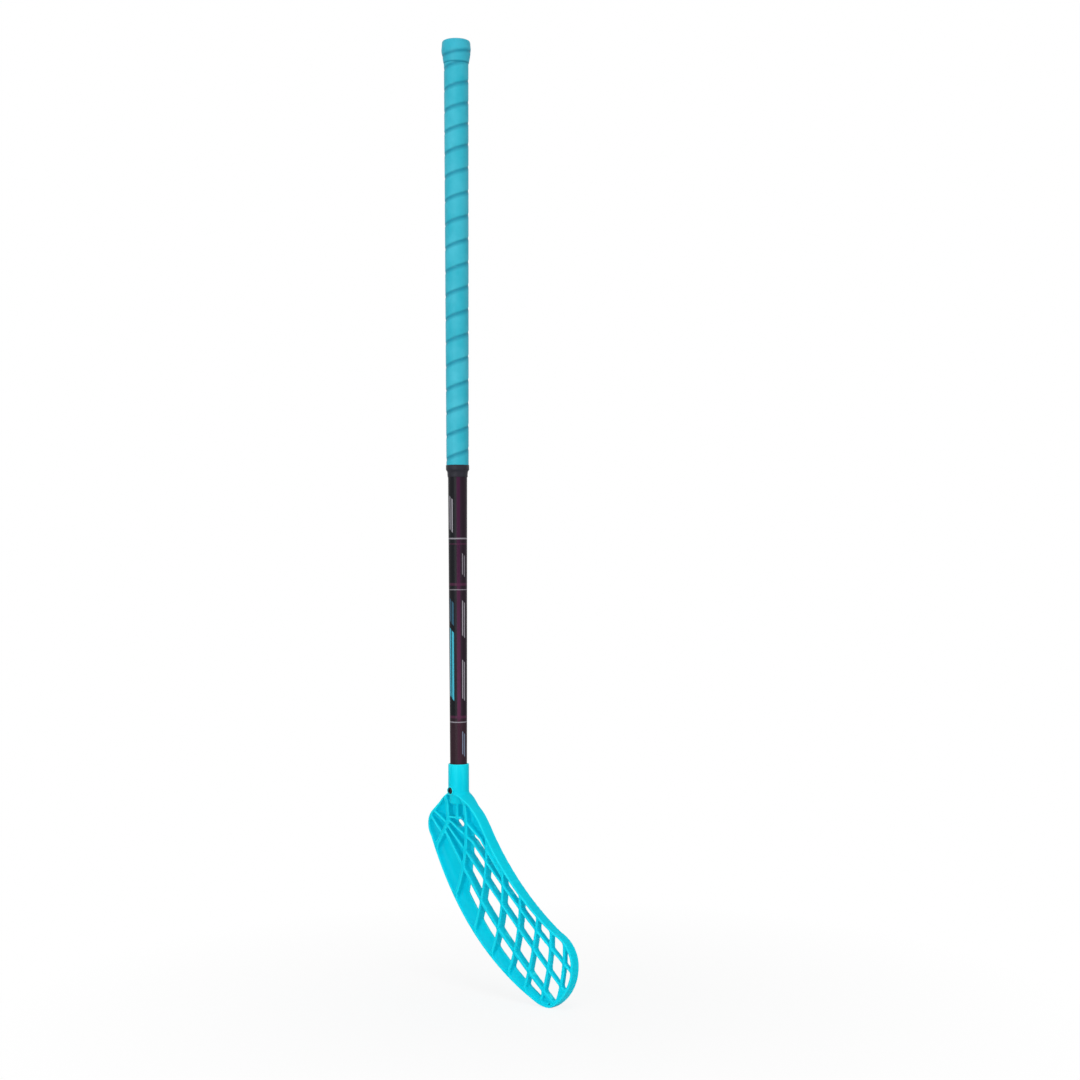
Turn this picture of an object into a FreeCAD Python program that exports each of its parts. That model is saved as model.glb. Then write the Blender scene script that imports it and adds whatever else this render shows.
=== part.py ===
import FreeCAD, Part
import math
import os
from FreeCAD import Vector

# Floorball stick, in millimetres. The stick's axis is Z with the butt end up, the blade lies along X with its
# toe towards +X, and the blade's open front faces -Y. The origin is on the axis at the middle of the grip.

# Shaft: one hollow tube, tapered from the butt to the end of the grip and from there to the blade
butt_height = 242.0
shaft_length = 870.0
shaft_top_radius = 12.45
shaft_grip_end_radius = 11.05
shaft_bottom_radius = 9.55
shaft_wall = 1.5

# End plug: a cap, a flared head round the outside of the tube and a hollow spigot inside it
plug_cap_thickness = 3.0
plug_spigot_length = 30.0
plug_spigot_wall = 2.0
plug_clearance = 0.1

# Grip: one ribbon wound down the shaft, with a level first turn drawn over the flared head
grip_length = 493.0
ribbon_thickness = 1.6
ribbon_pitch = 26.45
ribbon_seam_gap = 0.8
ribbon_bevel_width = 1.7
ribbon_bevel_depth = 0.7
ribbon_clearance = 0.15
ribbon_seam_drop = 52.0
ribbon_seam_bearing = 315.0
knob_length = 26.5
knob_flare = 2.5
knob_widest_drop = 10.5
knob_shoulder_step = 0.55
knob_shoulder_drop = 5.85
knob_rim_width = 3.15
knob_face_width = 1.8
knob_turn_down = 1.2
knob_turn_step = 0.35

# Finishing tape: a thin band half on the end of the ribbon and half on the tube
tape_above_grip_end = 5.4
tape_below_grip_end = 8.4
tape_thickness = 0.45
tape_lap_thickness = 0.9
tape_clearance = 0.1

# Blade socket and the screw that holds the shaft in it
socket_insertion = 42.3
socket_wall = 2.25
socket_mouth_wall = 2.05
socket_mouth_chamfer = 0.4
socket_clearance = 0.15
socket_end_room = 1.2
socket_end_wall = 3.0
socket_end_rounding = 4.0
socket_end_step = 1.2
neck_drop = 33.0
shoulder_drop = 46.0
shoulder_flare = 1.2
shoulder_round = 0.4
shoulder_round_length = 5.0
screw_drop = 30.0
screw_head_radius = 3.5
screw_head_height = 2.3
screw_head_rim_height = 1.4
screw_head_top_radius = 2.6
screw_shank_radius = 1.8
screw_shank_length = 7.2
screw_thread_depth = 0.4
screw_thread_pitch = 1.2
screw_recess_radius = 1.6
screw_recess_depth = 1.3
screw_clearance = 0.3
screw_boss_wall = 1.0
screw_boss_height = 1.9
screw_seat_depth = 2.0

# Blade: a perimeter wall round crossing fins, hooked gently backwards towards the toe
wall_thickness = 2.4
wall_back_ledge = 0.7
heel_depth = 15.0
front_hook_radius = 720.0
back_hook_radius = 900.0
fin_heel_depth = 10.5
fin_hook_radius = 1000.0
floor_thickness = 2.2
base_web_widths = (7.0, 14.5, 18.0)
through_drop = 46.0
first_steep_fin_thickness = 4.8
steep_fin_thickness = 3.4
cross_fin_thickness = 2.8
low_fin_thickness = 4.0
heel_fin_thickness = 5.2
neck_rib_thickness = 4.4
neck_arch_thickness = 2.4
cell_corner_radius = 1.4
narrowest_cell_in_radii = 1.2
heel_hole_radius = 2.6
heel_hole_length = 6.0
heel_hole_slant = 40.0

# Blade outline and fins as points (x, drop below the socket mouth), seen from the front
top_shoulder = ((28.5, 48.6), (36.5, 56.6))
top_edge = ((44.0, 67.0), (85.0, 121.5), (146.0, 175.0))
toe_upper = (163.8, 191.3)
toe_tip = (168.3, 211.0)
toe_lower = (160.5, 237.5)
toe_bottom = (139.0, 257.5)
base_toe_bend = (131.0, 257.0)
base_edge = ((122.0, 254.0), (43.0, 200.0), (-40.0, 87.0))
heel_round = (-45.2, 70.5)
heel_top = (-36.5, 55.3)
steep_fins = (
    ((11.8, 36.0), (16.2, 85.0), (-3.0, 153.0)),
    ((49.2, 78.0), (45.0, 132.0), (28.0, 190.0)),
    ((72.4, 108.0), (70.5, 160.0), (56.0, 210.0)),
    ((97.8, 136.0), (94.0, 184.0), (79.8, 229.0)),
    ((121.9, 158.0), (114.3, 202.0), (101.4, 247.0)),
    ((139.3, 172.0), (137.1, 203.0), (124.3, 254.0)),
    ((155.9, 186.0), (154.6, 213.0), (145.0, 254.0)),
)
cross_fins = (
    ((18.0, 66.6), (45.5, 88.5), (72.8, 121.0)),
    ((-11.0, 66.0), (28.0, 87.0), (116.0, 171.0), (168.0, 218.2)),
    ((-13.0, 73.0), (20.0, 101.0), (66.0, 145.7), (164.0, 244.7)),
    ((-42.0, 55.0), (-13.0, 70.5)),
    ((-47.0, 60.0), (-21.0, 84.0)),
    ((-12.0, 63.0), (10.0, 62.2)),
)
low_fin = ((-17.0, 81.0), (30.6, 139.6), (45.5, 158.2), (68.5, 182.6), (106.6, 219.5), (148.0, 259.0))
first_web_edge = ((22.5, 36.0), (23.8, 85.0), (13.5, 153.0))
heel_fin = ((-16.0, 36.0), (-13.5, 66.0), (-40.0, 105.0))
neck_rib = ((1.8, 30.0), (2.0, 61.5))
neck_arch = ((2.5, 34.0), (7.0, 35.4), (12.6, 38.6), (16.9, 42.2), (19.4, 45.4))
heel_hole = (0.3, 65.2)

# Heights that follow from the sizes above, and a length past the end of any cut
shaft_top = butt_height - plug_cap_thickness
shaft_bottom = shaft_top - shaft_length
grip_end = butt_height - grip_length
mouth = shaft_bottom + socket_insertion
screw_height = mouth - screw_drop
far = 400.0


def shaft_radius(height):
    if height > grip_end:
        share = (height - grip_end) / (shaft_top - grip_end)
        return shaft_grip_end_radius + (shaft_top_radius - shaft_grip_end_radius) * share
    share = (height - shaft_bottom) / (grip_end - shaft_bottom)
    return shaft_bottom_radius + (shaft_grip_end_radius - shaft_bottom_radius) * share


def line(start, end):
    return Part.LineSegment(start, end).toShape()


def arc(start, middle, end):
    return Part.Arc(start, middle, end).toShape()


def tangent_arc(start, heading, end):
    """The arc that leaves start along heading and reaches end."""
    chord = end - start
    along = Vector(chord).normalize()
    side = (heading - along * heading.dot(along)).normalize()
    half_angle = math.acos(heading.dot(along))
    return arc(start, start + chord * 0.5 + side * (0.5 * chord.Length * math.tan(half_angle / 2)), end)


def turned(points):
    """A solid of revolution about the stick's axis, from a closed profile of (radius, height)."""
    corners = [Vector(radius, 0, height) for radius, height in points]
    profile = Part.Face(Part.makePolygon(corners + corners[:1]))
    return profile.revolve(Vector(0, 0, 0), Vector(0, 0, 1), 360)


def turned_with_arcs(edges, corners):
    """A solid of revolution from a run of edges, closed by straight lines through the corners."""
    sides = [line(corners[i], corners[i + 1]) for i in range(len(corners) - 1)]
    profile = Part.Face(Part.Wire(Part.__sortEdges__(edges + sides)))
    return profile.revolve(Vector(0, 0, 0), Vector(0, 0, 1), 360)


# Shaft tube
shaft_outside = [(shaft_radius(height), height) for height in (shaft_top, grip_end, shaft_bottom)]
shaft_inside = [(radius - shaft_wall, height) for radius, height in reversed(shaft_outside)]
shaft_tube = turned(shaft_outside + shaft_inside)
screw_hole = Part.makeCylinder(
    screw_shank_radius + screw_clearance, far, Vector(0, 0, screw_height), Vector(0, -1, 0)
)
shaft_tube = shaft_tube.cut(screw_hole)

# Knob profile: the outside of the grip's level first turn, shared with the head of the plug beneath it
neck = butt_height - knob_length
neck_radius = shaft_radius(neck) + ribbon_clearance + ribbon_thickness + knob_turn_step
knob_radius = neck_radius + knob_flare
knob_shoulder_radius = knob_radius - knob_shoulder_step
knob_rim_radius = knob_shoulder_radius - knob_rim_width
knob_opening_radius = knob_rim_radius - knob_face_width


def knob_edges(inset):
    """The rounded rim and the barrel of the knob, moved inwards by inset."""
    rim = Vector(knob_rim_radius, 0, butt_height - inset)
    knob_shoulder = Vector(knob_shoulder_radius - inset, 0, butt_height - knob_shoulder_drop)
    widest = Vector(knob_radius - inset, 0, butt_height - knob_widest_drop)
    barrel_end = Vector(neck_radius - inset, 0, neck)
    edges = [tangent_arc(knob_shoulder, Vector(0, 0, 1), rim), arc(knob_shoulder, widest, barrel_end)]
    return edges, rim, barrel_end


# End plug: cap, flared head and hollow spigot in one moulding
head_edges, head_rim, head_end = knob_edges(ribbon_thickness + ribbon_clearance)
spigot_end = shaft_top - plug_spigot_length
plug_top = butt_height - knob_turn_down
disc_radius = knob_opening_radius - plug_clearance


def head_bore(height):
    return Vector(shaft_radius(height) + plug_clearance, 0, height)


def spigot(height, inset=0.0):
    return Vector(shaft_radius(height) - shaft_wall - plug_clearance - inset, 0, height)


end_plug = turned_with_arcs(
    head_edges,
    [
        head_end,
        head_bore(neck),
        head_bore(shaft_top),
        spigot(shaft_top),
        spigot(spigot_end),
        spigot(spigot_end, plug_spigot_wall),
        spigot(shaft_top, plug_spigot_wall),
        Vector(0, 0, shaft_top),
        Vector(0, 0, plug_top),
        Vector(disc_radius, 0, plug_top),
        Vector(disc_radius, 0, head_rim.z),
        head_rim,
    ],
)

# Grip: the level turn on the knob
turn_edges, turn_rim, turn_end = knob_edges(0.0)
inner_edges, inner_rim, inner_end = knob_edges(ribbon_thickness)
opening_top = Vector(knob_opening_radius, 0, butt_height)
opening_bottom = Vector(knob_opening_radius, 0, butt_height - ribbon_thickness)
knob_turn_sides = [
    line(turn_end, inner_end),
    line(inner_rim, opening_bottom),
    line(opening_bottom, opening_top),
    line(opening_top, turn_rim),
]
knob_turn_profile = Part.Face(Part.Wire(Part.__sortEdges__(turn_edges + inner_edges + knob_turn_sides)))
knob_turn = knob_turn_profile.revolve(Vector(0, 0, 0), Vector(0, 0, 1), 360)

# Grip: the wound ribbon, which rises to the right seen from outside
seam_height = butt_height - ribbon_seam_drop
first_turn = -math.ceil((neck - seam_height) / ribbon_pitch) - 1.0
last_turn = math.ceil((seam_height - grip_end) / ribbon_pitch) + 1.0
quarter_count = int(round((last_turn - first_turn) * 4))


def ribbon_point(turn):
    """Middle of the ribbon's inner face, after a number of turns below the seam's chosen crossing."""
    bearing = math.radians(ribbon_seam_bearing - 360.0 * turn)
    height = seam_height - ribbon_pitch * (turn + 0.5)
    radius = shaft_radius(height) + ribbon_clearance
    return Vector(radius * math.cos(bearing), radius * math.sin(bearing), height)


def ribbon_heading(turn):
    step = 0.001
    return (ribbon_point(turn + step) - ribbon_point(turn - step)).normalize()


def biarc(start, start_heading, end, end_heading):
    """Two tangent arcs that join two points with their headings."""
    chord = end - start
    both = start_heading + end_heading
    bend = 2.0 * (1.0 - start_heading.dot(end_heading))
    reach = (math.sqrt(chord.dot(both) ** 2 + bend * chord.dot(chord)) - chord.dot(both)) / bend
    joint = (start + end + (start_heading - end_heading) * reach) * 0.5
    joint_heading = (joint - start - start_heading * reach).normalize()
    return [tangent_arc(start, start_heading, joint), tangent_arc(joint, joint_heading, end)]


path_edges = []
for quarter in range(quarter_count):
    turn = first_turn + quarter / 4.0
    next_turn = turn + 0.25
    path_edges += biarc(
        ribbon_point(turn), ribbon_heading(turn), ribbon_point(next_turn), ribbon_heading(next_turn)
    )
ribbon_half = (ribbon_pitch - ribbon_seam_gap) / 2
ribbon_section = (
    (0.0, ribbon_half),
    (ribbon_thickness - ribbon_bevel_depth, ribbon_half),
    (ribbon_thickness, ribbon_half - ribbon_bevel_width),
    (ribbon_thickness, ribbon_bevel_width - ribbon_half),
    (ribbon_thickness - ribbon_bevel_depth, -ribbon_half),
    (0.0, -ribbon_half),
)


def section_point(turn, out, up):
    """A point of the ribbon's section, out from its inner face and up from its middle."""
    middle = ribbon_point(turn)
    outward = Vector(middle.x, middle.y, 0).normalize()
    return middle + outward * out + Vector(0, 0, up)


section_corners = [section_point(first_turn, out, up) for out, up in ribbon_section]
ribbon_sweep = Part.BRepOffsetAPI.MakePipeShell(Part.Wire(path_edges))
ribbon_sweep.setBiNormalMode(Vector(0, 0, 1))
ribbon_sweep.add(Part.makePolygon(section_corners + section_corners[:1]))
ribbon_sweep.build()
ribbon_sweep.makeSolid()
grip_space = Part.makeCylinder(2 * knob_radius, neck - grip_end, Vector(0, 0, grip_end))
ribbon = ribbon_sweep.shape().common(grip_space)
grip_wrap = knob_turn.fuse(ribbon).removeSplitter()

# Least gap of the ribbon to its own next turn, measured on points along both edges
edge_steps = 72
near_steps = 6
turn_gaps = []
for step in range(quarter_count // 4 * edge_steps - edge_steps):
    turn = first_turn + step / edge_steps
    lower_edge = section_point(turn, 0.0, -ribbon_half)
    for shift in range(-near_steps, near_steps + 1):
        upper_edge = section_point(turn + 1.0 + shift / edge_steps, 0.0, ribbon_half)
        turn_gaps.append(lower_edge.distanceToPoint(upper_edge))
print("ribbon least gap to itself: %.2f mm" % min(turn_gaps))

# Finishing tape
tape_top = grip_end + tape_above_grip_end
tape_bottom = grip_end - tape_below_grip_end
over_ribbon = ribbon_clearance + ribbon_thickness + tape_clearance
tape_step = grip_end - tape_clearance
lap_bottom = grip_end - tape_thickness - tape_lap_thickness
finishing_tape = turned([
    (shaft_radius(tape_bottom) + tape_clearance, tape_bottom),
    (shaft_radius(grip_end) + tape_clearance, tape_step),
    (shaft_radius(grip_end) + over_ribbon, tape_step),
    (shaft_radius(tape_top) + over_ribbon, tape_top),
    (shaft_radius(tape_top) + over_ribbon + tape_thickness, tape_top),
    (shaft_radius(grip_end) + over_ribbon + tape_thickness, grip_end - tape_thickness),
    (shaft_radius(grip_end) + tape_clearance + tape_lap_thickness, lap_bottom),
    (shaft_radius(tape_bottom) + tape_clearance + tape_thickness, tape_bottom),
])

# Blade plan: drawn flat as (x, drop) and stood up afterwards
socket_radius = shaft_radius(mouth - neck_drop) + socket_clearance + socket_wall


def plan(point):
    return Vector(point[0], point[1], 0)


def plan_line(start, end):
    return line(plan(start), plan(end))


def plan_arc(start, middle, end):
    return arc(plan(start), plan(middle), plan(end))


def stood_up(shape):
    """Turn a shape drawn flat so that drop runs down from the socket mouth and depth runs back along Y."""
    placed = shape.copy()
    placed.rotate(Vector(0, 0, 0), Vector(1, 0, 0), -90)
    placed.translate(Vector(0, 0, mouth))
    return placed


neck_right = (socket_radius, neck_drop)
neck_left = (-socket_radius, neck_drop)
outline = Part.Face(Part.Wire([
    plan_line(neck_left, neck_right),
    plan_line(neck_right, top_shoulder[0]),
    plan_arc(top_shoulder[0], top_shoulder[1], top_edge[0]),
    plan_arc(*top_edge),
    plan_arc(top_edge[2], toe_upper, toe_tip),
    plan_arc(toe_tip, toe_lower, toe_bottom),
    plan_arc(toe_bottom, base_toe_bend, base_edge[0]),
    plan_arc(*base_edge),
    plan_arc(base_edge[2], heel_round, heel_top),
    plan_line(heel_top, neck_left),
]))
inside = outline.makeOffset2D(-wall_thickness)


def steep_strip(points, thickness):
    """A steep fin in plan: an arc and its copy to the right."""
    aside = Vector(thickness, 0, 0)
    left = plan_arc(*points)
    right = left.copy()
    right.translate(aside)
    top = line(plan(points[0]), plan(points[0]) + aside)
    bottom = line(plan(points[2]), plan(points[2]) + aside)
    return Part.Face(Part.Wire(Part.__sortEdges__([left, top, right, bottom])))


def cross_strip(points, thickness):
    """A fin of straight runs in plan, with its thickness laid off above it."""
    lower = [plan(point) for point in points]
    run = (lower[-1] - lower[0]).normalize()
    above = Vector(run.y, -run.x, 0) * thickness
    upper = [point + above for point in reversed(lower)]
    return Part.Face(Part.makePolygon(lower + upper + lower[:1]))


def wide_cells(region):
    """The cells of a flat region, without those too narrow for rounded corners, which stay closed."""
    least_width = narrowest_cell_in_radii * cell_corner_radius
    return [cell for cell in region.Faces if 2 * cell.Area / cell.Length > least_width]


strips = [steep_strip(steep_fins[0], first_steep_fin_thickness)]
strips += [steep_strip(points, steep_fin_thickness) for points in steep_fins[1:]]
strips += [cross_strip(points, cross_fin_thickness) for points in cross_fins]
strips.append(cross_strip(low_fin, low_fin_thickness))
strips.append(cross_strip(heel_fin, heel_fin_thickness))
strips.append(cross_strip(neck_rib, neck_rib_thickness))
strips.append(cross_strip(neck_arch, neck_arch_thickness))
pocket_cells = []
for cell in wide_cells(inside.cut(strips)):
    pocket_cells.append(cell.makeOffset2D(-cell_corner_radius).makeOffset2D(cell_corner_radius))

# Through cells lie to the toe side of the web beside the first steep fin, clear of the neck, of the web along
# the base edge and of the narrow cells between the top edge and the first cross fin
base_centre = plan_arc(*base_edge).Curve.Center
web_points = []
for point, width in zip(base_edge, base_web_widths):
    inward = (base_centre - plan(point)).normalize()
    web_points.append(plan(point) + inward * width)
web_circle = Part.Face(Part.Wire(Part.Circle(*web_points).toShape()))
fin_top, fin_middle, fin_foot = first_web_edge
toe_side = Part.Face(Part.Wire([
    plan_arc(fin_top, fin_middle, fin_foot),
    plan_line(fin_foot, (fin_foot[0], far)),
    plan_line((fin_foot[0], far), (far, far)),
    plan_line((far, far), (far, fin_top[1])),
    plan_line((far, fin_top[1]), fin_top),
]))
below_neck = Part.makePlane(2 * far, far, Vector(-far, through_drop, 0))
first_start, first_bend, first_end = [plan(point) for point in cross_fins[0]]
narrow_cells = Part.Face(Part.makePolygon([
    first_start,
    first_bend,
    first_end,
    Vector(first_end.x, neck_drop, 0),
    Vector(first_start.x, neck_drop, 0),
    first_start,
]))
through_region = web_circle.common(toe_side).common(below_neck).cut(narrow_cells)


def depth_line(heel_level, hook_radius):
    """A level along the blade, straight at the heel and hooked backwards from the axis to past the toe."""
    reach = toe_tip[0] + heel_depth
    start = Vector(-far, 0, heel_level)
    bend = Vector(0, 0, heel_level)

    def hooked(x):
        return Vector(x, 0, heel_level + hook_radius - math.sqrt(hook_radius ** 2 - x * x))

    return [line(start, bend), arc(bend, hooked(reach / 2), hooked(reach))], start, hooked(reach)


def flat_level(level):
    start = Vector(-far, 0, level)
    end = Vector(toe_tip[0] + heel_depth, 0, level)
    return [line(start, end)], start, end


def between(first, second, top_drop=0.0):
    """The space between two levels, from a drop below the socket mouth to past the blade's foot."""
    first_edges, first_start, first_end = first
    second_edges, second_start, second_end = second
    ends = [line(first_start, second_start), line(first_end, second_end)]
    face = Part.Face(Part.Wire(Part.__sortEdges__(first_edges + second_edges + ends)))
    face.translate(Vector(0, top_drop, 0))
    return face.extrude(Vector(0, far, 0))


def upright(face):
    """A plan face as a prism through the whole depth."""
    prism = face.copy()
    prism.translate(Vector(0, 0, -far))
    return prism.extrude(Vector(0, 0, 2 * far))


front_level = depth_line(-heel_depth / 2, front_hook_radius)
back_level = depth_line(heel_depth / 2, back_hook_radius)
fin_back = fin_heel_depth - heel_depth / 2
fin_level = depth_line(fin_back, fin_hook_radius)
floor_level = depth_line(fin_back - floor_thickness, fin_hook_radius)

# The wall grows as deep as the socket towards the neck, and is rounded to it by a cone
shoulder = Part.Face(Part.makePolygon([
    Vector(-far, neck_drop, -socket_radius),
    Vector(-far, neck_drop, socket_radius),
    Vector(-far, shoulder_drop, heel_depth / 2),
    Vector(-far, shoulder_drop, -heel_depth / 2),
    Vector(-far, neck_drop, -socket_radius),
])).extrude(Vector(2 * far, 0, 0))
cone_start_radius = socket_radius + shoulder_round - shoulder_flare * shoulder_round_length
cone = Part.makeCone(
    cone_start_radius,
    cone_start_radius + shoulder_flare * far,
    far,
    Vector(0, neck_drop - shoulder_round_length, 0),
    Vector(0, 1, 0),
)
outline_prism = upright(outline)
plate = outline_prism.common(between(front_level, back_level, neck_drop + shoulder_round_length))
plate = plate.fuse(outline_prism.common(shoulder).common(cone))
above_floor = between(flat_level(-far), floor_level)
pockets = [upright(cell).common(above_floor) for cell in pocket_cells]
through_cells = []
for cell in pocket_cells:
    through_cells += [upright(part) for part in wide_cells(cell.common(through_region))]
back_plan = outline.makeOffset2D(-wall_thickness - wall_back_ledge)
back_recess = upright(back_plan).common(between(fin_level, flat_level(far)))
slot = Part.makeBox(heel_hole_length, 2 * heel_hole_radius, 2 * far, Vector(0, -heel_hole_radius, -far))
for slot_end in (0.0, heel_hole_length):
    slot = slot.fuse(Part.makeCylinder(heel_hole_radius, 2 * far, Vector(slot_end, 0, -far)))
slot.rotate(Vector(0, 0, 0), Vector(0, 0, 1), heel_hole_slant)
slot.translate(plan(heel_hole))
plate = stood_up(plate.cut(pockets + through_cells + [back_recess, slot]))

# Socket with a rounded closed end, the screw's boss, and the bores
socket_floor = shaft_bottom - socket_end_room
socket_end = socket_floor - socket_end_wall
mouth_radius = shaft_radius(mouth) + socket_clearance + socket_mouth_wall
socket_end_radius = socket_radius - socket_end_step
rounding_start = Vector(socket_end_radius, 0, socket_end + socket_end_rounding)
rounding_end = Vector(socket_end_radius - socket_end_rounding, 0, socket_end)
socket = turned_with_arcs(
    [tangent_arc(rounding_start, Vector(0, 0, -1), rounding_end)],
    [
        rounding_end,
        Vector(0, 0, socket_end),
        Vector(0, 0, mouth),
        Vector(mouth_radius - socket_mouth_chamfer, 0, mouth),
        Vector(mouth_radius, 0, mouth - 2 * socket_mouth_chamfer),
        Vector(socket_radius, 0, mouth - neck_drop),
        Vector(socket_end_radius, 0, mouth - neck_drop - wall_thickness),
        rounding_start,
    ],
)
boss_face = socket_radius + screw_boss_height
boss_radius = screw_head_radius + screw_clearance + screw_boss_wall
seat = boss_face - screw_seat_depth


def along_screw(radius, start, end):
    """A cylinder on the screw's axis between two distances out from the stick's axis."""
    return Part.makeCylinder(radius, end - start, Vector(0, -start, screw_height), Vector(0, -1, 0))


boss = along_screw(boss_radius, shaft_bottom_radius, boss_face)
bore_top = mouth + heel_depth
bore = turned([
    (0.0, bore_top),
    (shaft_radius(bore_top) + socket_clearance, bore_top),
    (shaft_radius(shaft_bottom) + socket_clearance, shaft_bottom),
    (shaft_radius(shaft_bottom) + socket_clearance, socket_floor),
    (0.0, socket_floor),
])
seat_bore = along_screw(screw_head_radius + screw_clearance, seat, far)
blade = plate.fuse([socket, boss]).cut([bore, screw_hole, seat_bore]).removeSplitter()

# Blade screw: head with a hexagon recess, ringed shank and point, drawn along +Z from the tip outwards
root_radius = screw_shank_radius - screw_thread_depth
ring_count = int(screw_shank_length / screw_thread_pitch) - 2
shank_profile = [(0.0, -screw_shank_length)]
for ring in range(ring_count):
    ring_start = -screw_shank_length + (ring + 1.5) * screw_thread_pitch
    shank_profile.append((root_radius, ring_start))
    shank_profile.append((screw_shank_radius, ring_start + 0.5 * screw_thread_pitch))
shank_profile += [
    (root_radius, -0.5 * screw_thread_pitch),
    (root_radius, 0.0),
    (screw_head_radius, 0.0),
    (screw_head_radius, screw_head_rim_height),
    (screw_head_top_radius, screw_head_height),
    (0.0, screw_head_height),
]
recess_corners = []
for corner in range(7):
    bearing = math.radians(60 * corner)
    recess_corners.append(Vector(
        screw_recess_radius * math.cos(bearing),
        screw_recess_radius * math.sin(bearing),
        screw_head_height - screw_recess_depth,
    ))
recess = Part.Face(Part.makePolygon(recess_corners)).extrude(Vector(0, 0, 2 * screw_recess_depth))
blade_screw = turned(shank_profile).cut(recess)
blade_screw.rotate(Vector(0, 0, 0), Vector(1, 0, 0), 90)
blade_screw.translate(Vector(0, -seat, screw_height))

nodes = {
    "shaft_tube": shaft_tube,
    "end_plug": end_plug,
    "grip_wrap": grip_wrap,
    "finishing_tape": finishing_tape,
    "blade": blade,
    "blade_screw": blade_screw,
}
os.makedirs("parts", exist_ok=True)
for name, shape in nodes.items():
    solids = shape.Solids
    print(name, "solids", len(solids), "valid", shape.isValid(), "volume %.0f" % shape.Volume)
    (solids[0] if len(solids) == 1 else shape).exportStep("parts/" + name + ".step")
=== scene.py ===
import math

import bpy
import bmesh
import numpy as np
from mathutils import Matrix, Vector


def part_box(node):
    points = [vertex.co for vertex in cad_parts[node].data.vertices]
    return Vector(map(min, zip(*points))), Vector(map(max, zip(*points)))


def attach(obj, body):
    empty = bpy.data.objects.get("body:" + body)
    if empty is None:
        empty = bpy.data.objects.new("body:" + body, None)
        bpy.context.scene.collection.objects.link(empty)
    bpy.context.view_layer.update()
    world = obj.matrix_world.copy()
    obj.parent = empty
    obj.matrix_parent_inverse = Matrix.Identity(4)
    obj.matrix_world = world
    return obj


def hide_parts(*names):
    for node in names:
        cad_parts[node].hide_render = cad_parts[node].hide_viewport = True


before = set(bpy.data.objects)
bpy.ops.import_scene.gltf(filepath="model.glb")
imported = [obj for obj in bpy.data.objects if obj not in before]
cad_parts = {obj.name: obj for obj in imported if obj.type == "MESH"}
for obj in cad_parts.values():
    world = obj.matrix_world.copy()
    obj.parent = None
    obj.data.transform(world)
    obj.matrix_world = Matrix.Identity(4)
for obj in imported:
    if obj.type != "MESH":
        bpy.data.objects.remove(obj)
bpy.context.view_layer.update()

import openvdb
from mathutils import Matrix, Vector, noise

# Shaft tube: one hollow composite tube in two slopes, wound on a mandrel, cured and lacquered.
# Near-black with a plum stripe down the face, and turquoise and pale lines printed under the clear coat.
# The end plug is pushed into its upper end, and the blade's socket is screwed on its lower end.
mm = 0.001
shaft_foot, shaft_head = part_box("shaft_tube")
grip_foot, grip_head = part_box("grip_wrap")
screw_foot, screw_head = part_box("blade_screw")
shaft_wall = 1.5 * mm
shaft_edge = 0.3 * mm
shaft_heights = (shaft_foot.z, grip_foot.z, shaft_head.z)
shaft_radii = (9.55 * mm, 11.05 * mm, 12.45 * mm)
screw_hole_radius = 2.1 * mm
shaft_row_count, hole_sides = 60, 32
screw_height = (screw_foot.z + screw_head.z) / 2


def shaft_radius(height):
    return np.interp(height, shaft_heights, shaft_radii)


def placed(name, mesh, crease=35):
    """A piece of a finished mesh, smooth except at edges sharper than the crease in degrees."""
    work = bmesh.new()
    work.from_mesh(mesh)
    bmesh.ops.recalc_face_normals(work, faces=work.faces)
    work.to_mesh(mesh)
    work.free()
    mesh.shade_smooth()
    mesh.set_sharp_from_angle(angle=math.radians(crease))
    piece = bpy.data.objects.new(name, mesh)
    bpy.context.scene.collection.objects.link(piece)
    return piece


def skin(name, points, close_rows=True, capped=False):
    """A mesh over a grid of points [row, column, xyz] whose columns go all the way round."""
    rows, columns = points.shape[:2]
    here, along = np.meshgrid(np.arange(rows if close_rows else rows - 1), np.arange(columns), indexing="ij")
    after, beside = (here + 1) % rows, (along + 1) % columns
    corner_rows, corner_columns = (here, here, after, after), (along, beside, beside, along)
    corners = [row * columns + column for row, column in zip(corner_rows, corner_columns)]
    faces = np.stack(corners, -1).reshape(-1, 4).tolist()
    if capped:
        faces += [list(range(columns)), list(range((rows - 1) * columns, rows * columns))]
    mesh = bpy.data.meshes.new(name)
    mesh.from_pydata(points.reshape(-1, 3).tolist(), [], faces)
    return mesh


def turned(profile, sides=96):
    """Points of a profile of (radius, height) turned about the stick's axis."""
    bearings = np.arange(sides) * 2 * math.pi / sides
    radii, heights = np.array(profile).T[:, :, None]
    return np.stack([radii * np.cos(bearings), radii * np.sin(bearings), heights + 0 * bearings], -1)


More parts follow.
